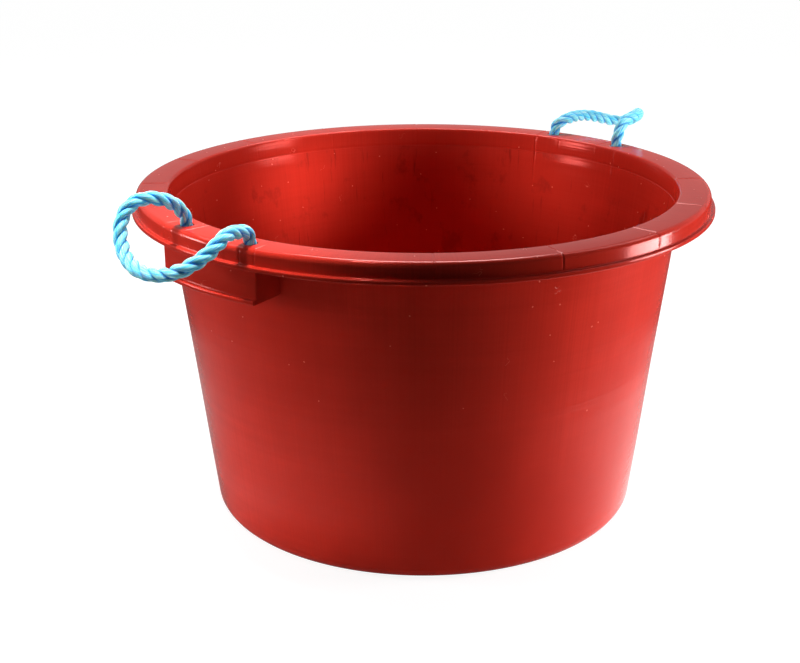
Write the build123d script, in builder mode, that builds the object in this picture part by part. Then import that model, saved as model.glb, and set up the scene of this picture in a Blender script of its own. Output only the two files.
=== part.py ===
from build123d import *
from math import asin, cos, degrees, pi, radians, sin, tan
import os

# Mortar mixing tub: one injection-moulded polypropylene tub with a rolled rim, and two handles
# of three-strand rope. Each handle is knotted under the rim, inside a moulded pocket.
# Millimetres. The origin is the centre of the base on the floor, +Z up, and the handles lie on
# the Y axis: the front one at -Y, the rear one at +Y.

# ---- Driving sizes ----

# the tapered wall and the floor
tub_height = 350.0
mouth_radius = 267.0  # inside of the wall, at the top
base_radius = 227.5  # outside of the wall, carried down to the floor
wall = 3.2
floor_thickness = 4.0
base_corner_radius = 14.0
foot_ring_width = 38.0
foot_ring_height = 2.5
gate_mark_radius = 13.0
gate_mark_depth = 1.0
inner_edge_radius = 3.2

# the shallow ring groove that the mould's core leaves inside, near the top
core_line_drop = 19.0
core_line_width = 2.4
core_line_depth = 0.5

# the flange, its turned-down skirt and the lip round the skirt's edge
flange_thickness = 3.0
flange_width = 33.0  # from the wall's inside to the skirt's outside
skirt_wall = 3.0
shoulder_radius = 5.5
rim_depth = 20.0  # from the flange's top to the lip's underside
lip_reach = 4.5
lip_height = 4.4
lip_edge_radius = 1.2
inside_corner_radius = 1.0

# gussets between wall and skirt, counted from the middle of each side
gusset_thickness = 2.5
gusset_step = 22.6
gussets_each_way = 2
gusset_recess = 1.0

# the pocket under the rim at each handle, and the ribs that part its knot cells
pocket_half_angle = 12.6
pocket_drop = 32.0  # how far the pocket hangs below the lip
pocket_side_wall = 3.0
cell_rib_half_angle = 5.8

# the rope, its two holes at each handle, and its stopper knots
rope_diameter = 12.0
rope_hole_clearance = 2.0
rope_hole_spacing = 92.0
rope_hole_edge_radius = 0.9
knot_radius = 13.0
knot_pitch = 11.0
rope_tail = 18.0
seat_gap = 0.3

# ---- Sizes that follow ----

wall_top_radius = mouth_radius + wall
skirt_radius = mouth_radius + flange_width
skirt_inside = skirt_radius - skirt_wall
rim_radius = skirt_radius + lip_reach
flange_underside = tub_height - flange_thickness
lip_bottom = tub_height - rim_depth
lip_top = lip_bottom + lip_height
pocket_bottom = lip_bottom - pocket_drop
foot_ring_inside = base_radius - base_corner_radius - foot_ring_width
rope_radius = rope_diameter / 2
rope_hole_radius = (rope_diameter + rope_hole_clearance) / 2
rope_hole_circle = (wall_top_radius + skirt_inside) / 2  # midway between wall and skirt
rope_hole_half_angle = degrees(asin(rope_hole_spacing / 2 / rope_hole_circle))
rope_hole_y = rope_hole_circle * cos(radians(rope_hole_half_angle))
pivot_height = tub_height + seat_gap + rope_radius

front_angle = -90.0
rear_angle = 90.0
handle_angles = (front_angle, rear_angle)


def wall_inside(z):
    """Inside radius of the tapered wall at height z."""
    return base_radius - wall + (mouth_radius + wall - base_radius) * z / tub_height


def rope_holes(handle_angle):
    """Angles of the two rope holes of one handle."""
    return (handle_angle - rope_hole_half_angle, handle_angle + rope_hole_half_angle)


# ---- Tub: one moulding ----
# The outside is turned first as a solid, the plates under the flange are added, and the cavity
# is cut last, so that every plate ends on the wall.

outside_corners = (
    ((0, foot_ring_height), 0),
    ((foot_ring_inside, foot_ring_height), foot_ring_height / 2),
    ((foot_ring_inside + foot_ring_height, 0), foot_ring_height / 2),
    ((base_radius, 0), base_corner_radius),
    ((wall_inside(flange_underside) + wall, flange_underside), inside_corner_radius),
    ((skirt_inside, flange_underside), inside_corner_radius),
    ((skirt_inside, lip_bottom), lip_edge_radius / 2),
    ((rim_radius, lip_bottom), lip_edge_radius),
    ((rim_radius, lip_top), lip_edge_radius),
    ((skirt_radius, lip_top), inside_corner_radius),
    ((skirt_radius, tub_height), shoulder_radius),
    ((0, tub_height), 0),
)

# the pocket's front panel has the same section as the skirt, down to a lip of its own
panel_corners = (
    ((skirt_inside, pocket_bottom), lip_edge_radius / 2),
    ((rim_radius, pocket_bottom), lip_edge_radius),
    ((rim_radius, pocket_bottom + lip_height), lip_edge_radius),
    ((skirt_radius, pocket_bottom + lip_height), inside_corner_radius),
    ((skirt_radius, lip_bottom + lip_height / 2), 0),
    ((skirt_inside, lip_bottom + lip_height / 2), 0),
)

cavity_corners = (
    ((0, floor_thickness), 0),
    ((wall_inside(floor_thickness), floor_thickness), base_corner_radius - wall),
    ((mouth_radius, tub_height), 0),
    ((0, tub_height), 0),
)

pocket_sides = [
    handle_angle + side * pocket_half_angle for handle_angle in handle_angles for side in (-1, 1)
]
cell_ribs = [
    handle_angle + side * cell_rib_half_angle for handle_angle in handle_angles for side in (-1, 1)
]
gussets = [
    side_angle + step * gusset_step
    for side_angle in (0, 180)
    for step in range(-gussets_each_way, gussets_each_way + 1)
]
gusset_bottom = lip_bottom + gusset_recess
plates = (
    (pocket_sides, pocket_side_wall, pocket_bottom),
    (cell_ribs, gusset_thickness, gusset_bottom),
    (gussets, gusset_thickness, gusset_bottom),
)
plate_start = wall_inside(pocket_bottom)  # inside the wall, so that the cavity trims it

with BuildPart() as tub:
    with BuildSketch(Plane.XZ):
        with BuildLine():
            FilletPolyline(
                *[point for point, radius in outside_corners],
                radius=[radius for point, radius in outside_corners],
                close=True,
            )
        make_face()
    revolve(axis=Axis.Z)

    for angles, thickness, bottom in plates:
        with BuildSketch(Plane.XY.offset(bottom)):
            for angle in angles:
                with PolarLocations(plate_start, 1, start_angle=angle):
                    Rectangle(
                        skirt_inside + skirt_wall / 2 - plate_start,
                        thickness,
                        align=(Align.MIN, Align.CENTER),
                    )
        # low enough in the flange to stay under the rounded shoulder
        extrude(amount=flange_underside + flange_thickness / 3 - bottom)

    for handle_angle in handle_angles:
        start = radians(handle_angle - pocket_half_angle)
        start_plane = Plane(
            origin=(0, 0, 0), x_dir=(cos(start), sin(start), 0), z_dir=(sin(start), -cos(start), 0)
        )
        with BuildSketch(start_plane):
            with BuildLine():
                FilletPolyline(
                    *[point for point, radius in panel_corners],
                    radius=[radius for point, radius in panel_corners],
                    close=True,
                )
            make_face()
        revolve(axis=Axis.Z, revolution_arc=2 * pocket_half_angle)

    with BuildSketch(Plane.XZ):
        with BuildLine():
            FilletPolyline(
                *[point for point, radius in cavity_corners],
                radius=[radius for point, radius in cavity_corners],
                close=True,
            )
        make_face()
    revolve(axis=Axis.Z, mode=Mode.SUBTRACT)

    core_line_height = tub_height - core_line_drop
    with BuildSketch(Plane.XZ):
        with Locations((wall_inside(core_line_height), core_line_height)):
            Rectangle(2 * core_line_depth, core_line_width)
    revolve(axis=Axis.Z, mode=Mode.SUBTRACT)

    with Locations((0, 0, foot_ring_height)):
        Cylinder(gate_mark_radius, 2 * gate_mark_depth, mode=Mode.SUBTRACT)

    for handle_angle in handle_angles:
        for angle in rope_holes(handle_angle):
            with Locations(Plane.XY.offset(tub_height)):
                with PolarLocations(rope_hole_circle, 1, start_angle=angle):
                    Hole(rope_hole_radius, depth=2 * flange_thickness)

    circles = tub.edges().filter_by(GeomType.CIRCLE)
    fillet(
        circles.filter_by(lambda edge: abs(edge.radius - rope_hole_radius) < 0.01),
        radius=rope_hole_edge_radius,
    )
    mouth_edges = circles.filter_by(
        lambda edge: abs(edge.radius - mouth_radius) < 0.01
        and abs(edge.center(CenterOf.BOUNDING_BOX).Z - tub_height) < 0.01
    )
    fillet(mouth_edges, radius=inner_edge_radius)

tub.part.label = "tub"


# ---- Rope loops: the length of each handle above the flange ----
# Each route runs from the left hole's pivot to the right one's, as seen from above with -Y down.

front_route = (
    (-rope_hole_spacing / 2, -rope_hole_y, pivot_height),
    (-47, -285, 365),
    (-45, -298, 376),
    (-50, -318, 383),
    (-55, -336, 380),
    (-55, -349, 365),
    (-45, -357, 347),
    (-25, -365, 336),
    (0, -370, 332),
    (28, -367, 334),
    (49, -360, 342),
    (59, -341, 353),
    (58, -318, 367),
    (50, -302, 365),
    (47, -287, 362),
    (rope_hole_spacing / 2, -rope_hole_y, pivot_height),
)
rear_route = (
    (-rope_hole_spacing / 2, rope_hole_y, pivot_height),
    (-41, 284, 365),
    (-37, 294, 368),
    (-41, 313, 368),
    (-43, 347, 364),
    (-39, 381, 353),
    (-28, 399, 350),
    (-15, 403, 356),
    (-5, 395, 363),
    (5, 379, 367),
    (19, 360, 372),
    (33, 339, 377),
    (43, 317, 378),
    (44, 296, 376),
    (47, 284, 367),
    (rope_hole_spacing / 2, rope_hole_y, pivot_height),
)


def corner_radii(route):
    """Arc radius at each inner point of a route, as large as its two runs allow."""
    radii = []
    for before, corner, after in zip(route, route[1:], route[2:]):
        arriving = Vector(corner) - Vector(before)
        leaving = Vector(after) - Vector(corner)
        half_turn = radians(arriving.get_angle(leaving)) / 2
        radii.append(0.45 * min(arriving.length, leaving.length) / tan(half_turn))
    return radii


rope_loops = {}
for name, route in (("front_rope_loop", front_route), ("rear_rope_loop", rear_route)):
    radii = corner_radii(route)
    with BuildPart() as rope_loop:
        with BuildLine() as path:
            FilletPolyline(*route, radius=radii)
        with BuildSketch(Plane(origin=path.line @ 0, z_dir=path.line % 0)):
            Circle(rope_radius)
        sweep()
        # a ball end at each hole keeps its place while the loop swings about it
        with Locations(route[0], route[-1]):
            Sphere(rope_radius)
    rope_loop.part.label = name
    rope_loops[name] = rope_loop.part
    length = sum(edge.length for edge in path.edges())
    tube_volume = pi * rope_radius**2 * length + pi * rope_diameter**3 / 6
    print(name, "length", round(length, 1), "radii", [round(radius, 1) for radius in radii])
    print("   volume over section times length", round(rope_loop.part.volume / tube_volume, 4))


# ---- Stopper knots: the rope in its hole, the knot under the flange and a short tail ----

knot_ring_radius = knot_radius - rope_radius
knot_top = flange_underside - seat_gap
upper_turn = knot_top - rope_radius
lower_turn = upper_turn - knot_pitch
knot_bottom = lower_turn - rope_radius

knots = {}
for handle, handle_y in (("front", -rope_hole_y), ("rear", rope_hole_y)):
    for side, knot_x in (("left", -rope_hole_spacing / 2), ("right", rope_hole_spacing / 2)):
        with BuildPart() as knot:
            with Locations((knot_x, handle_y, upper_turn)):
                Torus(knot_ring_radius, rope_radius)
            with Locations((knot_x, handle_y, lower_turn)):
                Torus(knot_ring_radius, rope_radius)
            with Locations((knot_x, handle_y, knot_bottom - rope_tail)):
                Cylinder(
                    rope_radius,
                    tub_height - knot_bottom + rope_tail,
                    align=(Align.CENTER, Align.CENTER, Align.MIN),
                )
        knot.part.label = f"{handle}_{side}_knot"
        knots[knot.part.label] = knot.part


# ---- Write one file for each piece ----

os.makedirs("parts", exist_ok=True)
for name, piece in {"tub": tub.part, **rope_loops, **knots}.items():
    export_step(piece, f"parts/{name}.step")
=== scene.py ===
import random
from math import acos, asin, ceil, cos, degrees, exp, pi, radians, sin, tan

import bmesh
import bpy
from mathutils import Matrix, Vector, noise


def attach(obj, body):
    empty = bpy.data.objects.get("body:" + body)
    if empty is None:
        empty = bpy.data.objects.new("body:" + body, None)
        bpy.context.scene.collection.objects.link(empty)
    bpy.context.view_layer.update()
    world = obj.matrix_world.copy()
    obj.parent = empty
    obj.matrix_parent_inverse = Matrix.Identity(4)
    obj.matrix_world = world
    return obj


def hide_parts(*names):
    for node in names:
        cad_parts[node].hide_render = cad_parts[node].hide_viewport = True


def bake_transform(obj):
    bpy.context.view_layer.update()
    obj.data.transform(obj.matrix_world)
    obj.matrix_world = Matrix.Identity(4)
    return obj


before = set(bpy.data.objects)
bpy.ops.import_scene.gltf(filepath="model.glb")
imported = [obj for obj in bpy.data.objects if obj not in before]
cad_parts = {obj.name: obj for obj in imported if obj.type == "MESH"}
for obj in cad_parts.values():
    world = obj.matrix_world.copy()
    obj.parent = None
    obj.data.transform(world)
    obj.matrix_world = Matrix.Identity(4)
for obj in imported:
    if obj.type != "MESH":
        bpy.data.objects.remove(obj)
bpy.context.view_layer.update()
scene = bpy.context.scene


# ---- The tub ----
# One injection moulding in red polypropylene: a tapered wall on a shallow foot ring, a flange
# turned down into a skirt with a lip, and a pocket under the rim at each rope handle. It comes
# off a polished core, so it is glossy, with faint rings, sink lines and handling scratches.

TUB_HEIGHT = 0.350
MOUTH_RADIUS = 0.267
BASE_RADIUS = 0.2275
WALL = 0.0032
FLOOR_THICKNESS = 0.004
FOOT_RING_HEIGHT = 0.0025
BASE_CORNER = 0.014
FOOT_RING_INSIDE = BASE_RADIUS - BASE_CORNER - 0.038
GATE_MARK_RADIUS = 0.013
GATE_MARK_DEPTH = 0.001
FLANGE_THICKNESS = 0.003
FLANGE_UNDERSIDE = TUB_HEIGHT - FLANGE_THICKNESS
SKIRT_RADIUS = 0.300
SKIRT_INSIDE = 0.297
LIP_RADIUS = 0.3045
LIP_HEIGHT = 0.0044
LIP_BOTTOM = 0.330
LIP_EDGE = 0.0012
SHOULDER = 0.0055
INNER_EDGE = 0.0032
CORE_LINE_TOP = 0.3322
CORE_LINE_BOTTOM = 0.3298
CORE_LINE_DEPTH = 0.0005
POCKET_BOTTOM = 0.298
POCKET_HALF_ANGLE = 12.6
POCKET_SIDE_WALL = 0.003
CELL_RIB_HALF_ANGLE = 5.8
GUSSET_THICKNESS = 0.0025
GUSSET_BOTTOM = 0.331
GUSSET_STEP = 22.6
HOLE_CIRCLE = (MOUTH_RADIUS + WALL + SKIRT_INSIDE) / 2
HOLE_HALF_SPACING = 0.046
HOLE_HALF_ANGLE = degrees(asin(HOLE_HALF_SPACING / HOLE_CIRCLE))
HOLE_RADIUS = 0.007
HOLE_EDGE = 0.0009
SMALL_ROUNDING = 0.001
FINE_ROUNDING = 0.0003
CORE_LINE_ROUNDING = 0.0002
PLATE_TOP = 0.3475
PLATE_INTO_SKIRT = 0.0012
POCKET_SIDE_SHORT_OF_FACE = 0.0001
POCKET_SIDE_INTO_LIP = 0.002
PANEL_INTO_SKIRT = 0.0008
PLATE_EDGE = 0.0004
POCKET_SIDE_EDGE = 0.0007
HANDLE_ANGLES = (-90, 90)

pocket_sides = [handle + side * POCKET_HALF_ANGLE for handle in HANDLE_ANGLES for side in (-1, 1)]
cell_ribs = [handle + side * CELL_RIB_HALF_ANGLE for handle in HANDLE_ANGLES for side in (-1, 1)]
rope_holes = [handle + side * HOLE_HALF_ANGLE for handle in HANDLE_ANGLES for side in (-1, 1)]
gussets = [side + step * GUSSET_STEP for side in (0, 180) for step in range(-2, 3)]


def wall_inside(z):
    """Inside radius of the tapered wall at a height."""
    return BASE_RADIUS - WALL + (MOUTH_RADIUS + WALL - BASE_RADIUS) * z / TUB_HEIGHT


def rounded(corners, closed=False):
    """A section's points, with its corners rounded and its long runs cut into short rows."""
    widest_turn = 13
    longest_row = 0.016
    line = []
    for i, (radius, height, rounding) in enumerate(corners):
        corner = Vector((radius, height))
        if rounding == 0:
            line.append(corner)
            continue
        back = (Vector(corners[i - 1][:2]) - corner).normalized()
        ahead = (Vector(corners[(i + 1) % len(corners)][:2]) - corner).normalized()
        half = acos(back.dot(ahead)) / 2
        centre = corner + (back + ahead).normalized() * rounding / sin(half)
        first = (corner + back * rounding / tan(half) - centre).normalized()
        last = (corner + ahead * rounding / tan(half) - centre).normalized()
        steps = max(3, ceil((180 - degrees(2 * half)) / widest_turn))
        for step in range(steps + 1):
            line.append(centre + first.slerp(last, step / steps) * rounding)
    rows = []
    for start, end in zip(line, line[1:] + line[:1] if closed else line[1:]):
        parts = ceil((end - start).length / longest_row)
        rows += [start.lerp(end, part / parts) for part in range(parts)]
    return rows if closed else rows + [line[-1]]


def solid(name, points, faces):
    """A closed mesh object with all its faces turned outward."""
    mesh = bpy.data.meshes.new(name)
    mesh.from_pydata(points, [], faces)
    shape = bmesh.new()
    shape.from_mesh(mesh)
    bmesh.ops.recalc_face_normals(shape, faces=shape.faces)
    shape.to_mesh(mesh)
    shape.free()
    made = bpy.data.objects.new(name, mesh)
    scene.collection.objects.link(made)
    return made


def turned(name, section, angles, skin=None):
    """A section turned round the tub's axis: right round, or capped at the first and last angle."""
    almost_round = 350
    on_axis = 1e-6
    whole = angles[-1] - angles[0] > almost_round
    has_poles = section[0].x < on_axis
    points, rings, faces = [], [], []
    for i, place in enumerate(section):
        if place.x < on_axis:
            rings.append([len(points)] * len(angles))
            points.append((0, 0, place.y))
            continue
        along = section[min(i + 1, len(section) - 1)] - section[max(i - 1, 0)]
        facing = Vector((along.y, -along.x)).normalized()
        rings.append(range(len(points), len(points) + len(angles)))
        for angle in angles:
            out = place + facing * skin(place, facing, angle) if skin else place
            points.append((out.x * cos(radians(angle)), out.x * sin(radians(angle)), out.y))
    for i in range(len(section) - 1 if has_poles else len(section)):
        lower, upper = rings[i], rings[(i + 1) % len(rings)]
        for j in range(len(angles) if whole else len(angles) - 1):
            k = (j + 1) % len(angles)
            faces.append(list(dict.fromkeys((lower[j], lower[k], upper[k], upper[j]))))
    if not whole:
        faces.append([ring[0] for ring in rings])
        faces.append([ring[-1] for ring in rings])
    return solid(name, points, faces)


def plate(name, corners, angle, thickness, edge):
    """A flat plate that stands between wall and skirt, in a plane through the tub's axis."""
    out = Vector((cos(radians(angle)), sin(radians(angle)), 0))
    across = Vector((-out.y, out.x, 0)) * thickness / 2
    points = [out * r + side * across + Vector((0, 0, z)) for side in (-1, 1) for r, z in corners]
    count = len(corners)
    faces = [list(range(count)), list(range(count, 2 * count))]
    faces += [[i, (i + 1) % count, (i + 1) % count + count, i + count] for i in range(count)]
    made = solid(name, points, faces)
    shape = bmesh.new()
    shape.from_mesh(made.data)
    bmesh.ops.bevel(shape, geom=shape.edges[:], offset=edge, segments=2, affect="EDGES")
    shape.to_mesh(made.data)
    shape.free()
    return made


def away(angle, centre):
    """The angle from a centre line, between -180 and 180 degrees."""
    return (angle - centre + 180) % 360 - 180


SINK_REACH = 1.5
SINK_BANK = 0.5
SINK_BANK_PLACE = 1.7
TOP_SINK_DEPTH = 0.00040
SKIRT_SINK_DEPTH = 0.00030
POCKET_SINK_DEPTH = 0.00034
RIB_SINK_DEPTH = 0.00024
FLANGE_SINK_WIDTH = 0.15
POCKET_SINK_WIDTH = 0.22
RIB_SINK_WIDTH = 0.2
POCKET_SINK_BOTTOM = 0.296
POCKET_SINK_EASE = 0.012
RIB_SINK_BOTTOM = 0.333
RIB_SINK_EASE = 0.003
CLEAR_OF_EDGES = 0.0005
LOOKS_BACK = -0.5
LOOKS_INTO_TUB = -0.8
WOBBLE_DEPTH = 0.00035
WOBBLE_BOTTOM = 0.02
WOBBLE_BOTTOM_EASE = 0.05
WOBBLE_TOP = 0.325
WOBBLE_TOP_EASE = 0.04
WOBBLE_ROUND = 2.2
WOBBLE_UP = 9


def sink(angle, centre, width):
    """A sink line's depth across its width: a fine groove with a low bank on one side."""
    across = away(angle, centre) / width
    return exp(-across * across) - SINK_BANK * exp(-((across - SINK_BANK_PLACE) ** 2))


def sinks(angle, lines, width):
    """The depth at an angle of all the sink lines of one kind."""
    return sum(sink(angle, line, width) for line in lines if abs(away(angle, line)) < SINK_REACH)


def rise(z, start, over):
    """From 0 at a starting height to 1 at a stated distance over it."""
    return max(0.0, min(1.0, (z - start) / over))


def tub_skin(place, facing, angle):
    """How far the skin stands out from the turned section: sink lines, and a slow wobble."""
    radius, z = place
    out = 0.0
    above_lip = z > LIP_BOTTOM + LIP_HEIGHT + CLEAR_OF_EDGES
    past_mouth = radius > MOUTH_RADIUS + CLEAR_OF_EDGES
    if above_lip and past_mouth and min(facing) > LOOKS_BACK:
        on_top = max(0.0, facing.y)
        out -= TOP_SINK_DEPTH * on_top * top_sinks[angle]
        out -= SKIRT_SINK_DEPTH * (1 - on_top) * skirt_sinks[angle]
    elif facing.x < LOOKS_INTO_TUB and radius < MOUTH_RADIUS + SMALL_ROUNDING:
        out -= POCKET_SINK_DEPTH * rise(z, POCKET_SINK_BOTTOM, POCKET_SINK_EASE) * pocket_sinks[angle]
        out -= RIB_SINK_DEPTH * rise(z, RIB_SINK_BOTTOM, RIB_SINK_EASE) * rib_sinks[angle]
    if WOBBLE_BOTTOM < z < WOBBLE_TOP and radius < MOUTH_RADIUS + WALL:
        round_tub = Vector((cos(radians(angle)), sin(radians(angle)), 0)) * WOBBLE_ROUND
        where = round_tub + Vector((0, 0, WOBBLE_UP * z))
        fade = min(1.0, (z - WOBBLE_BOTTOM) / WOBBLE_BOTTOM_EASE, (WOBBLE_TOP - z) / WOBBLE_TOP_EASE)
        outward = 1 if facing.x > 0 else -1
        out += outward * WOBBLE_DEPTH * fade * noise.noise(where)
    return out


# the turning has a step for each degree, and finer ones across each sink line
FINE_STEPS = (0.07, 0.15, 0.25, 0.38, 0.65)
CLEAR_OF_FINE_STEPS = 0.8
sink_lines = sorted({round(line % 360, 4) for line in gussets + pocket_sides + cell_ribs + rope_holes})
angles = [
    angle
    for angle in range(360)
    if min(abs(away(angle, line)) for line in sink_lines) > CLEAR_OF_FINE_STEPS
]
for line in sink_lines:
    angles += [(line + side * step) % 360 for step in FINE_STEPS for side in (-1, 1)]
    angles.append(line)
angles.sort()
top_lines = gussets + pocket_sides + cell_ribs
skirt_lines = gussets + pocket_sides + rope_holes
top_sinks = {angle: sinks(angle, top_lines, FLANGE_SINK_WIDTH) for angle in angles}
skirt_sinks = {angle: sinks(angle, skirt_lines, FLANGE_SINK_WIDTH) for angle in angles}
pocket_sinks = {angle: sinks(angle, pocket_sides, POCKET_SINK_WIDTH) for angle in angles}
rib_sinks = {angle: sinks(angle, gussets + cell_ribs, RIB_SINK_WIDTH) for angle in angles}

tub = turned(
    "mortar_tub",
    rounded(
        (
            (0, FOOT_RING_HEIGHT + GATE_MARK_DEPTH, 0),
            (GATE_MARK_RADIUS, FOOT_RING_HEIGHT + GATE_MARK_DEPTH, FINE_ROUNDING),
            (GATE_MARK_RADIUS, FOOT_RING_HEIGHT, FINE_ROUNDING),
            (FOOT_RING_INSIDE, FOOT_RING_HEIGHT, FOOT_RING_HEIGHT / 2),
            (FOOT_RING_INSIDE + FOOT_RING_HEIGHT, 0, FOOT_RING_HEIGHT / 2),
            (BASE_RADIUS, 0, BASE_CORNER),
            (wall_inside(FLANGE_UNDERSIDE) + WALL, FLANGE_UNDERSIDE, SMALL_ROUNDING),
            (SKIRT_INSIDE, FLANGE_UNDERSIDE, SMALL_ROUNDING),
            (SKIRT_INSIDE, LIP_BOTTOM, LIP_EDGE / 2),
            (LIP_RADIUS, LIP_BOTTOM, LIP_EDGE),
            (LIP_RADIUS, LIP_BOTTOM + LIP_HEIGHT, LIP_EDGE),
            (SKIRT_RADIUS, LIP_BOTTOM + LIP_HEIGHT, SMALL_ROUNDING),
            (SKIRT_RADIUS, TUB_HEIGHT, SHOULDER),
            (MOUTH_RADIUS, TUB_HEIGHT, INNER_EDGE),
            (wall_inside(CORE_LINE_TOP), CORE_LINE_TOP, CORE_LINE_ROUNDING),
            (wall_inside(CORE_LINE_TOP) + CORE_LINE_DEPTH, CORE_LINE_TOP, CORE_LINE_ROUNDING),
            (wall_inside(CORE_LINE_BOTTOM) + CORE_LINE_DEPTH, CORE_LINE_BOTTOM, CORE_LINE_ROUNDING),
            (wall_inside(CORE_LINE_BOTTOM), CORE_LINE_BOTTOM, CORE_LINE_ROUNDING),
            (wall_inside(FLOOR_THICKNESS), FLOOR_THICKNESS, BASE_CORNER - WALL),
            (0, FLOOR_THICKNESS, 0),
        )
    ),
    angles,
    tub_skin,
)

# what is moulded on below the flange: the pockets' front panels, side walls, ribs and gussets
wall_middle = [(wall_inside(z) + WALL / 2, z) for z in (POCKET_BOTTOM, GUSSET_BOTTOM, PLATE_TOP)]
added = []
for handle in HANDLE_ANGLES:
    panel = rounded(
        (
            (SKIRT_INSIDE, POCKET_BOTTOM, LIP_EDGE / 2),
            (LIP_RADIUS, POCKET_BOTTOM, LIP_EDGE),
            (LIP_RADIUS, POCKET_BOTTOM + LIP_HEIGHT, LIP_EDGE),
            (SKIRT_RADIUS, POCKET_BOTTOM + LIP_HEIGHT, SMALL_ROUNDING),
            (SKIRT_RADIUS, LIP_BOTTOM + LIP_HEIGHT / 2, 0),
            (SKIRT_INSIDE + PANEL_INTO_SKIRT, LIP_BOTTOM + LIP_HEIGHT / 2, 0),
            (SKIRT_INSIDE, LIP_BOTTOM - LIP_EDGE, 0),
        ),
        closed=True,
    )
    steps = 30
    turns = [handle + POCKET_HALF_ANGLE * step / steps for step in range(-steps, steps + 1)]
    added.append(turned("pocket_panel", panel, turns))
for angle in pocket_sides:
    corners = [
        wall_middle[0],
        (SKIRT_RADIUS - POCKET_SIDE_SHORT_OF_FACE, POCKET_BOTTOM),
        (SKIRT_RADIUS - POCKET_SIDE_SHORT_OF_FACE, LIP_BOTTOM + POCKET_SIDE_INTO_LIP),
        (SKIRT_INSIDE + PLATE_INTO_SKIRT, LIP_BOTTOM + POCKET_SIDE_INTO_LIP),
        (SKIRT_INSIDE + PLATE_INTO_SKIRT, PLATE_TOP),
        wall_middle[2],
    ]
    added.append(plate("pocket_side", corners, angle, POCKET_SIDE_WALL, POCKET_SIDE_EDGE))
for angle in cell_ribs + gussets:
    corners = [
        wall_middle[1],
        (SKIRT_INSIDE + PLATE_INTO_SKIRT, GUSSET_BOTTOM),
        (SKIRT_INSIDE + PLATE_INTO_SKIRT, PLATE_TOP),
        wall_middle[2],
    ]
    added.append(plate("gusset", corners, angle, GUSSET_THICKNESS, PLATE_EDGE))

# each rope hole has rounded edges above and below
CUTTER_PAST_FLANGE = 0.001
HOLE_EDGE_DROP = 0.0003
HOLE_EDGE_ROUNDING = HOLE_EDGE * 0.6
HOLE_SIDES = 48
cut_away = []
hole_section = rounded(
    (
        (0, FLANGE_UNDERSIDE - CUTTER_PAST_FLANGE, 0),
        (HOLE_RADIUS + HOLE_EDGE, FLANGE_UNDERSIDE - CUTTER_PAST_FLANGE, 0),
        (HOLE_RADIUS + HOLE_EDGE, FLANGE_UNDERSIDE, 0),
        (HOLE_RADIUS, FLANGE_UNDERSIDE + HOLE_EDGE_DROP, HOLE_EDGE_ROUNDING),
        (HOLE_RADIUS, TUB_HEIGHT - HOLE_EDGE_DROP, HOLE_EDGE_ROUNDING),
        (HOLE_RADIUS + HOLE_EDGE, TUB_HEIGHT, 0),
        (HOLE_RADIUS + HOLE_EDGE, TUB_HEIGHT + CUTTER_PAST_FLANGE, 0),
        (0, TUB_HEIGHT + CUTTER_PAST_FLANGE, 0),
    )
)
for angle in rope_holes:
    cutter = turned("rope_hole", hole_section, [step * 360 / HOLE_SIDES for step in range(HOLE_SIDES)])
    out = Vector((cos(radians(angle)), sin(radians(angle)), 0))
    cutter.data.transform(Matrix.Translation(out * HOLE_CIRCLE))
    cut_away.append(cutter)

for operation, pieces in (("UNION", added), ("DIFFERENCE", cut_away)):
    group = bpy.data.collections.new(operation)
    for piece in pieces:
        group.objects.link(piece)
    joint = tub.modifiers.new(operation, "BOOLEAN")
    joint.operation = operation
    joint.operand_type = "COLLECTION"
    joint.solver = "MANIFOLD"
    joint.collection = group
moulded = tub.evaluated_get(bpy.context.evaluated_depsgraph_get())
tub_mesh = bpy.data.meshes.new_from_object(moulded)
tub.modifiers.clear()
tub.data = tub_mesh
for piece in added + cut_away:
    bpy.data.objects.remove(piece)
for face in tub_mesh.polygons:
    face.use_smooth = True
SHARP_EDGE = radians(32)
tub_mesh.set_sharp_from_angle(angle=SHARP_EDGE)


class Reading:
    """A value that changes over a surface, so that a sum on it reads as plain arithmetic."""

    def __init__(self, nodes, socket):
        self.nodes = nodes
        self.socket = socket

    def __add__(self, other):
        return self.nodes.sum_of("ADD", self, other)

    def __radd__(self, other):
        return self.nodes.sum_of("ADD", other, self)

    def __sub__(self, other):
        return self.nodes.sum_of("SUBTRACT", self, other)

    def __rsub__(self, other):
        return self.nodes.sum_of("SUBTRACT", other, self)

    def __mul__(self, other):
        return self.nodes.sum_of("MULTIPLY", self, other)

    def __rmul__(self, other):
        return self.nodes.sum_of("MULTIPLY", other, self)

    def __truediv__(self, other):
        return self.nodes.sum_of("DIVIDE", self, other)

    def __pow__(self, other):
        return self.nodes.sum_of("POWER", self, other)

    def __gt__(self, other):
        return self.nodes.sum_of("GREATER_THAN", self, other)

    def __lt__(self, other):
        return self.nodes.sum_of("LESS_THAN", self, other)


class Nodes:
    """One tree of shader nodes, and the one way to make a node in it."""

    def __init__(self, tree):
        self.tree = tree

    def feed(self, socket, value):
        """Gives a socket a reading, or else a plain value."""
        if isinstance(value, Reading):
            self.tree.links.new(value.socket, socket)
        else:
            socket.default_value = value

    def node(self, kind, settings, values, output=0):
        """A new node of a kind, with its settings and inputs, as the reading of one output."""
        made = self.tree.nodes.new(kind)
        for name, setting in settings.items():
            if name == "stops":
                ramp = made.color_ramp.elements
                while len(ramp) < len(setting):
                    ramp.new(0.5)
                for stop, (place, level) in zip(ramp, setting):
                    stop.position = place
                    stop.color = (level, level, level, 1)
            else:
                setattr(made, name, setting)
        for name, value in values.items():
            self.feed(made.inputs[name], value)
        return Reading(self, made.outputs[output])

    def sum_of(self, operation, *terms):
        """One sum, by the name of its operation."""
        return self.node("ShaderNodeMath", {"operation": operation}, dict(enumerate(terms)))


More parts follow.
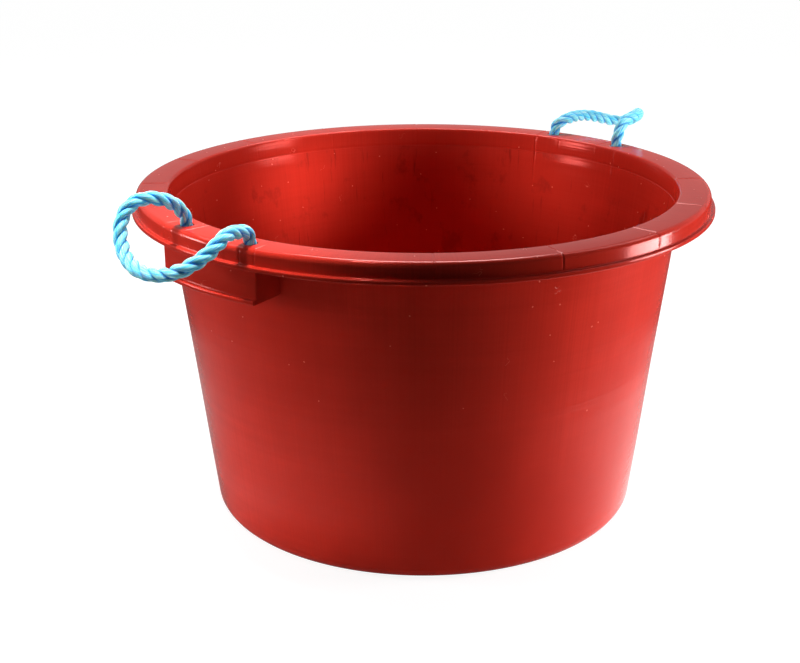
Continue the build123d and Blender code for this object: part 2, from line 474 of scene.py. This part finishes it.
class Finish(Nodes):
    """A material whose looks are worked out on the surface."""

    def __init__(self, name, **settings):
        self.material = bpy.data.materials.new(name)
        self.material.use_nodes = True
        super().__init__(self.material.node_tree)
        self.shader = self.tree.nodes["Principled BSDF"]
        for setting, value in settings.items():
            self.shader.inputs[setting.replace("_", " ")].default_value = value

    def vector(self, x, y, z):
        """A place made of three readings."""
        return self.node("ShaderNodeCombineXYZ", {}, {"X": x, "Y": y, "Z": z})

    def grain(self, where, scale, detail=2.0, roughness=0.5):
        """Soft noise with a stated number of grains in each unit of a place."""
        settings = {"Vector": where, "Scale": scale, "Detail": detail, "Roughness": roughness}
        return self.node("ShaderNodeTexNoise", {}, settings, "Fac")

    def ramp(self, value, *stops):
        """Turns a reading into a level, by stops of (reading, level)."""
        return self.node("ShaderNodeValToRGB", {"stops": stops}, {"Fac": value})

    def blend(self, factor, a, b):
        """The first colour where the factor is 0, and the second where it is 1."""
        factor_in, first_in, second_in, colour_out = 0, 6, 7, 2
        values = {factor_in: factor, first_in: a, second_in: b}
        return self.node("ShaderNodeMix", {"data_type": "RGBA"}, values, colour_out)

    def relief(self, height, depth):
        """Turns a height from 0 to 1, as deep as depth in metres, into the surface's own relief."""
        values = {"Strength": 1.0, "Distance": depth, "Height": height}
        self.feed(self.shader.inputs["Normal"], self.node("ShaderNodeBump", {}, values, "Normal"))


TUB_RED = (0.67, 0.034, 0.019, 1)
TUB_DEEP_RED = (0.48, 0.021, 0.011, 1)
TUB_STAIN = (0.20, 0.010, 0.006, 1)
TUB_SCUFF = (0.90, 0.20, 0.13, 1)

plastic = Finish(
    "red_polypropylene",
    IOR=1.40,
    Specular_Tint=(1.0, 0.12, 0.09, 1),
)
place = plastic.node("ShaderNodeTexCoord", {}, {}, "Object")
x = plastic.node("ShaderNodeSeparateXYZ", {}, {"Vector": place}, "X")
y = plastic.node("ShaderNodeSeparateXYZ", {}, {"Vector": place}, "Y")
z = plastic.node("ShaderNodeSeparateXYZ", {}, {"Vector": place}, "Z")
NEVER_ZERO = 0.000001
radius = (x * x + y * y + NEVER_ZERO) ** 0.5
east = x / radius
north = y / radius
wall_line = BASE_RADIUS - WALL / 2 + (MOUTH_RADIUS + WALL - BASE_RADIUS) / TUB_HEIGHT * z
inside = radius < wall_line
on_flange = (z > TUB_HEIGHT - SMALL_ROUNDING) * (radius > MOUTH_RADIUS)

# the skin laid out flat: the wall unrolled, and the flange and the base seen from above
MIDDLE_RADIUS = 0.25
FLOOR_CORNER = 0.006
around = plastic.sum_of("ARCTAN2", y, x) * MIDDLE_RADIUS
lies_level = plastic.sum_of("MAXIMUM", on_flange, z < FLOOR_THICKNESS + FLOOR_CORNER)
laid_flat = plastic.vector(
    around * (1 - lies_level) + x * lies_level, z * (1 - lies_level) + y * lies_level, 0.0
)
on_wall = 1 - plastic.ramp(z, (0.012, 1.0), (0.022, 0.0))

# clouded colour, rings and bands from moulding, and drag streaks up the wall; the factors are
# grains in a metre, and for east and north grains in one radius of the tub
cloud = plastic.grain(plastic.vector(x * 6.5, y * 6.5, z * 5), 1.0, 3.0)
bands = plastic.grain(plastic.vector(x * 2, y * 2, z * 26), 1.0, 2.0)
rings = plastic.grain(plastic.vector(x * 3, y * 3, z * 150 + radius * 40), 1.0, 3.0, 0.6)
streaks = plastic.grain(plastic.vector(east * 150, north * 150, z * 2.5), 1.0, 2.0, 0.6)
circles = plastic.grain(plastic.vector(x * 4.5, y * 4.5, radius * 900), 1.0, 2.0, 0.6)

# dried splashes inside, and runs below them
blotches = plastic.grain(plastic.vector(x * 28, y * 28, z * 22), 1.0, 5.0, 0.65)
runs = plastic.grain(plastic.vector(east * 38, north * 38, z * 14), 1.0, 4.0, 0.6) * on_wall
splashed = plastic.ramp(blotches, (0.57, 0.0), (0.68, 1.0)) * 0.7
stains = splashed + plastic.ramp(runs, (0.63, 0.0), (0.75, 1.0))
stains = stains * inside * (z < CORE_LINE_BOTTOM)

# specks and short curled scratches from handling
SPOTS_PER_METRE = 30.0
SPECK_SIZE = 0.046
CURL_REACH = 0.13
CURL_WIDTH = 0.006
spots = {"Vector": laid_flat, "Scale": SPOTS_PER_METRE, "Randomness": 1.0}
spot_middle = plastic.node("ShaderNodeTexVoronoi", {"voronoi_dimensions": "2D"}, spots, "Distance")
spot_pick = plastic.node("ShaderNodeTexVoronoi", {"voronoi_dimensions": "2D"}, spots, "Color")
ragged = plastic.grain(laid_flat, 420.0, 2.0)
pick = plastic.ramp(spot_pick, (0.0, 0.0), (1.0, 1.0))
handled = plastic.ramp(z + 0.12 * cloud, (0.16, 0.0), (0.40, 1.0))
few = pick + 0.35 * handled > 0.86
specks = (spot_middle + 0.05 * ragged < SPECK_SIZE) * few
hair = plastic.sum_of("ABSOLUTE", plastic.grain(laid_flat, 110.0, 1.0) - 0.5)
curls = (hair < CURL_WIDTH) * (spot_middle < CURL_REACH) * (pick < 0.30 * handled)

worn = specks * 0.8 + curls * 0.5

BANDS_SHOW = 0.34
STREAKS_SHOW = 0.32
STAINS_SHOW = 0.65
WEAR_SHOWS = 0.8
colour = plastic.blend(plastic.ramp(cloud, (0.3, 0.0), (0.7, 1.0)), TUB_RED, TUB_DEEP_RED)
banding = plastic.ramp(rings * 0.5 + bands * 0.5, (0.38, 0.0), (0.62, 1.0))
streaking = plastic.ramp(streaks, (0.35, 0.0), (0.65, 1.0)) * on_wall
colour = plastic.blend(banding * BANDS_SHOW + streaking * STREAKS_SHOW, colour, TUB_DEEP_RED)
colour = plastic.blend(stains * STAINS_SHOW, colour, TUB_STAIN)
colour = plastic.blend(worn * WEAR_SHOWS, colour, TUB_SCUFF)
plastic.feed(plastic.shader.inputs["Base Color"], colour)

POLISHED = 0.12
STAINS_DULL = 0.14
CLOUD_DULLS = 0.07
WEAR_DULLS = 0.25
roughness = POLISHED + STAINS_DULL * stains + CLOUD_DULLS * cloud + WEAR_DULLS * worn
plastic.feed(plastic.shader.inputs["Roughness"], roughness)

TUB_RELIEF = 0.0006
height = rings * 0.5 + bands * 0.9 + streaks * on_wall * 0.12 + circles * on_flange * 0.06 + worn * 0.2
plastic.relief(height, TUB_RELIEF)

tub.data.materials.clear()
tub.data.materials.append(plastic.material)
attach(tub, "tub")
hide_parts("tub")


# ---- The two rope handles ----
# Each is one length of three-strand blue polypropylene rope, laid right-handed. Its two ends go
# down through the holes in the flange, and the loop between them droops outward over the lip.

LAY_LENGTH = 0.041
STRAND_RADIUS = 0.0033
STRAND_CIRCLE = 0.0035
YARNS = 11
YARN_RIDGE = 0.00030
MEAN_RIDGE = 0.6
YARN_TURNS = -1.75
STRAND_SHIFT = 1.3
STRAND_FLATTENED = 0.10
STRAND_WIDENED = 0.03
SWELLS = 60
SWELL_LENGTH = 0.006
SWELL = 0.05
# how far into the rope the painted shade of the grooves reaches, and how much more shade is painted
# between the yarns
GROOVE_SHADE_REACH = 0.34
YARN_GROOVE_SHADE = 0.35
FIBRES_PER_METRE = 12
SIDES = 44
LAY_START = 0.4
ROPE_STEPS = 22
HOLE_Y = HOLE_CIRCLE * cos(radians(HOLE_HALF_ANGLE))
LOOP_END = 0.3445

front_route = (
    (-0.046, -HOLE_Y, LOOP_END),
    (-0.046, -HOLE_Y, 0.3563),
    (-0.047, -0.285, 0.365),
    (-0.045, -0.298, 0.376),
    (-0.050, -0.318, 0.383),
    (-0.055, -0.336, 0.380),
    (-0.055, -0.349, 0.365),
    (-0.045, -0.357, 0.347),
    (-0.025, -0.365, 0.336),
    (0, -0.370, 0.332),
    (0.028, -0.367, 0.334),
    (0.049, -0.360, 0.342),
    (0.059, -0.341, 0.353),
    (0.058, -0.318, 0.367),
    (0.050, -0.302, 0.365),
    (0.047, -0.287, 0.362),
    (0.046, -HOLE_Y, 0.3563),
    (0.046, -HOLE_Y, LOOP_END),
)
rear_route = (
    (-0.046, HOLE_Y, LOOP_END),
    (-0.046, HOLE_Y, 0.3563),
    (-0.041, 0.284, 0.365),
    (-0.037, 0.294, 0.368),
    (-0.041, 0.313, 0.368),
    (-0.043, 0.347, 0.364),
    (-0.039, 0.381, 0.353),
    (-0.028, 0.399, 0.350),
    (-0.015, 0.403, 0.356),
    (-0.005, 0.395, 0.363),
    (0.005, 0.379, 0.367),
    (0.019, 0.360, 0.372),
    (0.033, 0.339, 0.377),
    (0.043, 0.317, 0.378),
    (0.044, 0.296, 0.376),
    (0.047, 0.284, 0.367),
    (0.046, HOLE_Y, 0.3563),
    (0.046, HOLE_Y, LOOP_END),
)


def lie(name, route, steps):
    """The smooth line that a rope takes past its route's points."""
    curve = bpy.data.curves.new(name, "CURVE")
    curve.dimensions = "3D"
    spline = curve.splines.new("NURBS")
    spline.points.add(len(route) - 1)
    for point, where in zip(spline.points, route):
        point.co = (*where, 1)
    spline.order_u = 3
    spline.use_endpoint_u = True
    spline.resolution_u = steps
    holder = bpy.data.objects.new(name, curve)
    scene.collection.objects.link(holder)
    bpy.context.view_layer.update()
    line = bpy.data.meshes.new_from_object(holder)
    points = [vertex.co.copy() for vertex in line.vertices]
    bpy.data.objects.remove(holder)
    return points


def way_along(line, i):
    """The way that a line runs at one of its points."""
    return (line[min(i + 1, len(line) - 1)] - line[max(i - 1, 0)]).normalized()


def ways_across(line):
    """Two ways across a line at each of its points, which don't twist along it."""
    pairs, heading = [], None
    for i in range(len(line)):
        along = way_along(line, i)
        if heading is None:
            side = along.orthogonal().normalized()
        else:
            side = heading.rotation_difference(along) @ pairs[-1][0]
        pairs.append((side, along.cross(side)))
        heading = along
    return pairs


def laid_rope(name, line, slim, seed):
    """Three strands laid round a line, as one mesh. slim(way) is the rope's size along its length.

    Each point keeps its place in the lay and its depth in the rope, from which the material paints
    shade into the grooves.
    """
    chance = random.Random(seed)
    reach = [0.0]
    for before, after in zip(line, line[1:]):
        reach.append(reach[-1] + (after - before).length)
    across_line = ways_across(line)
    points, faces, lay, depth = [], [], [], []
    for strand in range(3):
        swell = [chance.uniform(-1, 1) for _ in range(SWELLS)]
        thread = []
        for i, middle in enumerate(line):
            size = slim(reach[i] / reach[-1])
            phase = LAY_START + 2 * pi * (reach[i] / LAY_LENGTH + strand / 3)
            side, up = across_line[i]
            thread.append(middle + (side * cos(phase) + up * sin(phase)) * STRAND_CIRCLE * size)
        first = len(points)
        for i, centre in enumerate(thread):
            size = slim(reach[i] / reach[-1])
            whole, part = divmod(reach[i] / SWELL_LENGTH, 1)
            bulge = swell[int(whole) % SWELLS] * (1 - part) + swell[(int(whole) + 1) % SWELLS] * part
            along = way_along(thread, i)
            out = centre - line[i]
            out = (out - along * out.dot(along)).normalized()
            across = along.cross(out)
            twist = YARN_TURNS * 2 * pi * reach[i] / LAY_LENGTH
            for k in range(SIDES):
                angle = 2 * pi * k / SIDES
                fibre = angle - twist + strand * STRAND_SHIFT
                ridge = abs(sin(YARNS * fibre / 2))
                inward = max(0.0, -cos(angle)) ** 2
                flat = 1 - STRAND_FLATTENED * inward + STRAND_WIDENED * sin(angle) ** 2
                radius = STRAND_RADIUS * size * flat * (1 + SWELL * bulge)
                radius += YARN_RIDGE * (ridge - MEAN_RIDGE)
                spot = centre + (out * cos(angle) + across * sin(angle)) * radius
                points.append(spot)
                lay.append((cos(fibre) + 3 * strand, sin(fibre), reach[i] * FIBRES_PER_METRE))
                # depth: how far down into the rope's grooves a point lies, which the material paints as
                # shade
                from_middle = (spot - line[i]).length / (STRAND_RADIUS + STRAND_CIRCLE)
                shade_between_yarns = YARN_GROOVE_SHADE * (1 - ridge) ** 3
                depth.append(max(0.0, min(1.0, (1 - from_middle) / GROOVE_SHADE_REACH + shade_between_yarns)))
        for i in range(len(line) - 1):
            for k in range(SIDES):
                near, far = first + i * SIDES, first + (i + 1) * SIDES
                n = (k + 1) % SIDES
                faces.append((near + k, near + n, far + n, far + k))
        faces.append([first + k for k in reversed(range(SIDES))])
        faces.append([first + (len(line) - 1) * SIDES + k for k in range(SIDES)])
    mesh = bpy.data.meshes.new(name)
    mesh.from_pydata(points, [], faces)
    mesh.attributes.new("lay", "FLOAT_VECTOR", "POINT").data.foreach_set(
        "vector", [value for row in lay for value in row]
    )
    mesh.attributes.new("depth", "FLOAT", "POINT").data.foreach_set("value", depth)
    for face in mesh.polygons:
        face.use_smooth = len(face.vertices) == 4
    made = bpy.data.objects.new(name, mesh)
    scene.collection.objects.link(made)
    return made


ROPE_BLUE = (0.03, 0.58, 1.0, 1)
# a pale blue, partly the fibres' own tone and partly a painted highlight
ROPE_PALE_AND_HIGHLIGHT = (0.50, 0.95, 1.0, 1)
# a darker blue, painted as shade in the grooves
ROPE_GROOVE_SHADE = (0.015, 0.40, 1.0, 1)
PALE_AND_HIGHLIGHT_SHOWS = 0.95
ROPE_SHINE = 0.38
FIBRES_DULL = 0.2
FIBRE_RELIEF = 0.0008

fibres = Finish(
    "blue_rope",
    IOR=1.49,
    Sheen_Weight=0.12,
    Sheen_Roughness=0.4,
    Subsurface_Weight=0.7,
    Subsurface_Radius=(0.4, 0.8, 1.0),
    Subsurface_Scale=0.006,
)
strand_place = fibres.node("ShaderNodeAttribute", {"attribute_name": "lay"}, {}, "Vector")
groove = fibres.node("ShaderNodeAttribute", {"attribute_name": "depth"}, {}, "Fac")
stretch = fibres.node(
    "ShaderNodeVectorMath", {"operation": "MULTIPLY"}, {0: strand_place, 1: (1.0, 1.0, 0.5)}
)
fine = fibres.grain(stretch, 7.0, 4.0, 0.7)
broad = fibres.grain(strand_place, 2.4, 2.0)
# pale streaks along the fibres: partly the fibres' own tone, partly painted highlight
pale_fibres_and_highlights = fibres.ramp(fine * 0.65 + broad * 0.35, (0.45, 0.0), (0.56, 1.0))
colour = fibres.blend(pale_fibres_and_highlights * PALE_AND_HIGHLIGHT_SHOWS, ROPE_BLUE, ROPE_PALE_AND_HIGHLIGHT)
# painted shade: the rope is coloured darker down in the grooves between strands and yarns, where shade
# falls
colour = fibres.blend(fibres.ramp(groove, (0.35, 0.0), (1.0, 1.0)), colour, ROPE_GROOVE_SHADE)
fibres.feed(fibres.shader.inputs["Base Color"], colour)
fibres.feed(fibres.shader.inputs["Roughness"], ROPE_SHINE + FIBRES_DULL * fine)
fibres.relief(fine, FIBRE_RELIEF)

ROPE_LENGTH = 0.320
SQUEEZED = 0.90
SQUEEZE_END = 0.008
SQUEEZE_EASE = 0.014


def waist(way):
    """A rope is squeezed a little where each end goes down into its hole."""
    from_end = min(way, 1 - way) * ROPE_LENGTH
    return SQUEEZED + (1 - SQUEEZED) * rise(from_end, SQUEEZE_END, SQUEEZE_EASE)


for name, route, side, body in (
    ("front_rope_loop", front_route, -1, "front_handle"),
    ("rear_rope_loop", rear_route, 1, "rear_handle"),
):
    line = lie(name, route, ROPE_STEPS)
    loop = laid_rope(name + "_strands", line, waist, 7 + side)
    loop.data.materials.append(fibres.material)
    side * 0.2798
    side * 0.290
    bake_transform(loop)
    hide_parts(name)
    side * HOLE_Y


# ---- The four stopper knots ----
# Below the flange each end of a handle is tied on itself in an overhand knot, drawn up tight in
# its cell of the pocket, with a short tail whose fibres are melted together at the cut.

KNOT_SIZE = 0.88
KNOT_STEPS = 12
TURN_BY_HAND = 70
TURN_BY_HANDLE = 40
MELTED_FROM = 0.975
MELTED_SHRINK = 0.22

knot_route = (
    (0, 0, 0.3492),
    (0, 0, 0.3470),
    (0.001, 0.0005, 0.3440),
    (0.0052, 0.0030, 0.3415),
    (0.0046, -0.0058, 0.3412),
    (-0.0042, -0.0062, 0.3398),
    (-0.0074, 0.0022, 0.3372),
    (-0.0012, 0.0078, 0.3345),
    (0.0070, 0.0044, 0.3322),
    (0.0068, -0.0044, 0.3300),
    (-0.0010, -0.0076, 0.3282),
    (-0.0072, -0.0010, 0.3272),
    (-0.0040, 0.0060, 0.3262),
    (0.0018, 0.0050, 0.3235),
    (0.0010, 0.0010, 0.3195),
    (0.0004, -0.0006, 0.3140),
    (0.0006, -0.0010, 0.3064),
)


def knotted(way):
    """A knot's rope is drawn in where it turns, and its melted end is rounded off."""
    tail = max(0.0, (way - MELTED_FROM) / (1 - MELTED_FROM))
    return KNOT_SIZE * (1 - MELTED_SHRINK * tail * tail)


for handle, side in (("front", -1), ("rear", 1)):
    for hand, across in (("left", -1), ("right", 1)):
        name = f"{handle}_{hand}_knot"
        centre = Vector((across * HOLE_HALF_SPACING, side * HOLE_Y, 0))
        turn = Matrix.Rotation(radians(TURN_BY_HAND * across + TURN_BY_HANDLE * side), 3, "Z")
        line = [turn @ point + centre for point in lie(name, knot_route, KNOT_STEPS)]
        knot = laid_rope(name + "_strands", line, knotted, 20 + 3 * side + across)
        knot.data.materials.append(fibres.material)
        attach(knot, "tub")
        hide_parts(name)


# ---- Floor, lamps and camera ----
# The tub stands on a pale floor between two low soft lamps, with three high ones behind it and
# four narrow ones for the inner wall, the rim and the front handle. The floor near the tub glows
# a little, most on the tub's right, and the camera looks down from the front handle's right.

VIEW_ANGLE = radians(43.0)
CAMERA_DISTANCE = 1.5398
CAMERA_HEIGHT = 0.7260
CAMERA_DROP = radians(19.496)
CAMERA_FILM = 36
CAMERA_LENS = 67.15
CAMERA_SHIFT = -0.0295
to_camera = Vector((sin(VIEW_ANGLE), -cos(VIEW_ANGLE), 0))
to_right = Vector((cos(VIEW_ANGLE), sin(VIEW_ANGLE), 0))

FLOOR_REACH = 40
SHEET_RADIUS = 0.62
SHEET_FADE = 0.05
GLOW_RADIUS = 0.48
GLOW_FADE = 0.04
GLOW = 0.09
RIGHT_GLOW = 0.8
RIGHT_GLOW_TURN = radians(15)
RIGHT_GLOW_NARROWNESS = 5
DIMMED_IN_GLOSS = 0.75
DARK_FLOOR = (0.06, 0.06, 0.06, 1)
PALE_FLOOR = (0.85, 0.85, 0.85, 1)
SHADOW_CATCHER = (0.25, 0.25, 0.25, 1)
WHITE_FAR = (0.99, 0.99, 0.99, 1)
WHITE_NEAR = (0.90, 0.90, 0.90, 1)

floor_corners = [(x * FLOOR_REACH, y * FLOOR_REACH, 0) for x, y in ((-1, -1), (1, -1), (1, 1), (-1, 1))]
floor_mesh = bpy.data.meshes.new("floor")
floor_mesh.from_pydata(floor_corners, [], [(0, 1, 2, 3)])
pale_floor = bpy.data.objects.new("floor", floor_mesh)
scene.collection.objects.link(pale_floor)
paper = Finish("pale_floor", Roughness=0.9, Emission_Strength=1.0)
floor_place = paper.node("ShaderNodeTexCoord", {}, {}, "Object")
from_middle = paper.node("ShaderNodeVectorMath", {"operation": "LENGTH"}, {0: floor_place}, "Value")
glow_way = to_right * cos(RIGHT_GLOW_TURN) + to_camera * sin(RIGHT_GLOW_TURN)
toward = paper.node(
    "ShaderNodeVectorMath", {"operation": "DOT_PRODUCT"}, {0: floor_place, 1: glow_way}, "Value"
)
sheet = paper.ramp(from_middle, (SHEET_RADIUS - SHEET_FADE, 1.0), (SHEET_RADIUS + SHEET_FADE, 0.0))
near_glow = paper.ramp(from_middle, (GLOW_RADIUS - GLOW_FADE, 1.0), (GLOW_RADIUS + GLOW_FADE, 0.0))
right_glow = paper.sum_of("MAXIMUM", toward / from_middle, 0.0) ** RIGHT_GLOW_NARROWNESS
in_gloss = paper.node("ShaderNodeLightPath", {}, {}, "Is Glossy Ray")
dimmed = sheet * (1 - DIMMED_IN_GLOSS * in_gloss)
paper.feed(paper.shader.inputs["Base Color"], paper.blend(dimmed, DARK_FLOOR, PALE_FLOOR))
paper.feed(paper.shader.inputs["Emission Color"], near_glow * (GLOW + RIGHT_GLOW * right_glow))

# the camera sees the floor as white paper that still takes the tub's shadow
in_view = paper.node("ShaderNodeLightPath", {}, {}, "Is Camera Ray")
lit = paper.node("ShaderNodeBsdfDiffuse", {}, {"Color": SHADOW_CATCHER}, "BSDF")
whiteness = paper.blend(sheet, WHITE_FAR, WHITE_NEAR)
white = paper.node("ShaderNodeEmission", {}, {"Color": whiteness}, "Emission")
seen = paper.node("ShaderNodeAddShader", {}, {0: lit, 1: white}, "Shader")
unseen = Reading(paper, paper.shader.outputs["BSDF"])
shown = paper.node("ShaderNodeMixShader", {}, {0: in_view, 1: unseen, 2: seen}, "Shader")
paper.feed(paper.tree.nodes["Material Output"].inputs["Surface"], shown)
floor_mesh.materials.append(paper.material)

# the surround is white to the camera, grey in gloss, and gives the tub almost no light
SURROUND_IN_GLOSS = 0.38
SURROUND_LIGHT = 0.02
scene.world = bpy.data.worlds.new("surround")
scene.world.use_nodes = True
surround = Nodes(scene.world.node_tree)
in_gloss = surround.node("ShaderNodeLightPath", {}, {}, "Is Glossy Ray")
in_view = surround.node("ShaderNodeLightPath", {}, {}, "Is Camera Ray")
strength = surround.sum_of("MAXIMUM", in_view, in_gloss * SURROUND_IN_GLOSS + SURROUND_LIGHT)
background = surround.tree.nodes["Background"]
surround.feed(background.inputs["Strength"], strength)
surround.feed(background.inputs["Color"], (1, 1, 1, 1))

SOFT_LAMP_AIM = Vector((0, 0, 0.20))
NARROW_LAMP_MIDDLE = Vector((0, 0, 0.30))
NARROW_LAMP_DISTANCE = 1.3


def lamp_way(turn, rising):
    """The way to a lamp, turned from the camera's side towards its right and raised."""
    level_way = to_camera * cos(radians(turn)) + to_right * sin(radians(turn))
    return level_way * cos(radians(rising)) + Vector((0, 0, sin(radians(rising))))


def soft_lamp(name, turn, rising, distance, size, watts):
    """A square soft lamp, aimed at the tub's middle."""
    lamp = bpy.data.objects.new(name, bpy.data.lights.new(name, "AREA"))
    scene.collection.objects.link(lamp)
    lamp.data.size = size
    lamp.data.energy = watts
    way = lamp_way(turn, rising)
    lamp.location = SOFT_LAMP_AIM + way * distance
    lamp.rotation_euler = way.to_track_quat("Z", "Y").to_euler()


def narrow_lamp(name, turn, rising, cone, size, aim, watts):
    """A lamp with a soft cone, aimed at a point given to the right, towards the camera and up."""
    lamp = bpy.data.objects.new(name, bpy.data.lights.new(name, "SPOT"))
    scene.collection.objects.link(lamp)
    lamp.data.spot_size = radians(cone)
    lamp.data.spot_blend = 1
    lamp.data.shadow_soft_size = size
    lamp.data.energy = watts
    lamp.location = NARROW_LAMP_MIDDLE + lamp_way(turn, rising) * NARROW_LAMP_DISTANCE
    target = to_right * aim[0] + to_camera * aim[1] + Vector((0, 0, aim[2]))
    lamp.rotation_euler = (target - lamp.location).to_track_quat("-Z", "Y").to_euler()


soft_lamp("right_lamp", turn=84, rising=4, distance=1.1, size=0.4, watts=12.0)
soft_lamp("left_lamp", turn=-84, rising=10, distance=1.3, size=0.3, watts=8.5)
soft_lamp("high_right_lamp", turn=112, rising=52, distance=1.6, size=0.7, watts=4.2)
soft_lamp("high_left_lamp", turn=-115, rising=52, distance=1.6, size=0.7, watts=5.0)
soft_lamp("back_lamp", turn=180, rising=60, distance=1.6, size=0.8, watts=20.0)

LEFT_INNER_WALL = (-0.140, -0.213, 0.295)
RIGHT_INNER_WALL = (0.140, -0.213, 0.295)
LEFT_RIM = (-0.171, -0.190, 0.32)
FRONT_HANDLE = (-0.235, 0.250, 0.36)
narrow_lamp("inside_left_lamp", turn=80, rising=28, cone=6, size=0.05, aim=LEFT_INNER_WALL, watts=135)
narrow_lamp("inside_right_lamp", turn=-80, rising=28, cone=6, size=0.05, aim=RIGHT_INNER_WALL, watts=65)
narrow_lamp("rim_lamp", turn=80, rising=12, cone=7, size=0.15, aim=LEFT_RIM, watts=75)
narrow_lamp("handle_lamp", turn=-62, rising=70, cone=13, size=0.15, aim=FRONT_HANDLE, watts=290)

camera = bpy.data.objects.new("camera", bpy.data.cameras.new("camera"))
scene.collection.objects.link(camera)
camera.data.sensor_width = CAMERA_FILM
camera.data.lens = CAMERA_LENS
camera.data.shift_x = CAMERA_SHIFT
camera.location = to_camera * CAMERA_DISTANCE + Vector((0, 0, CAMERA_HEIGHT))
camera.rotation_euler = (pi / 2 - CAMERA_DROP, 0, VIEW_ANGLE)
scene.camera = camera
scene.view_settings.view_transform = "Standard"
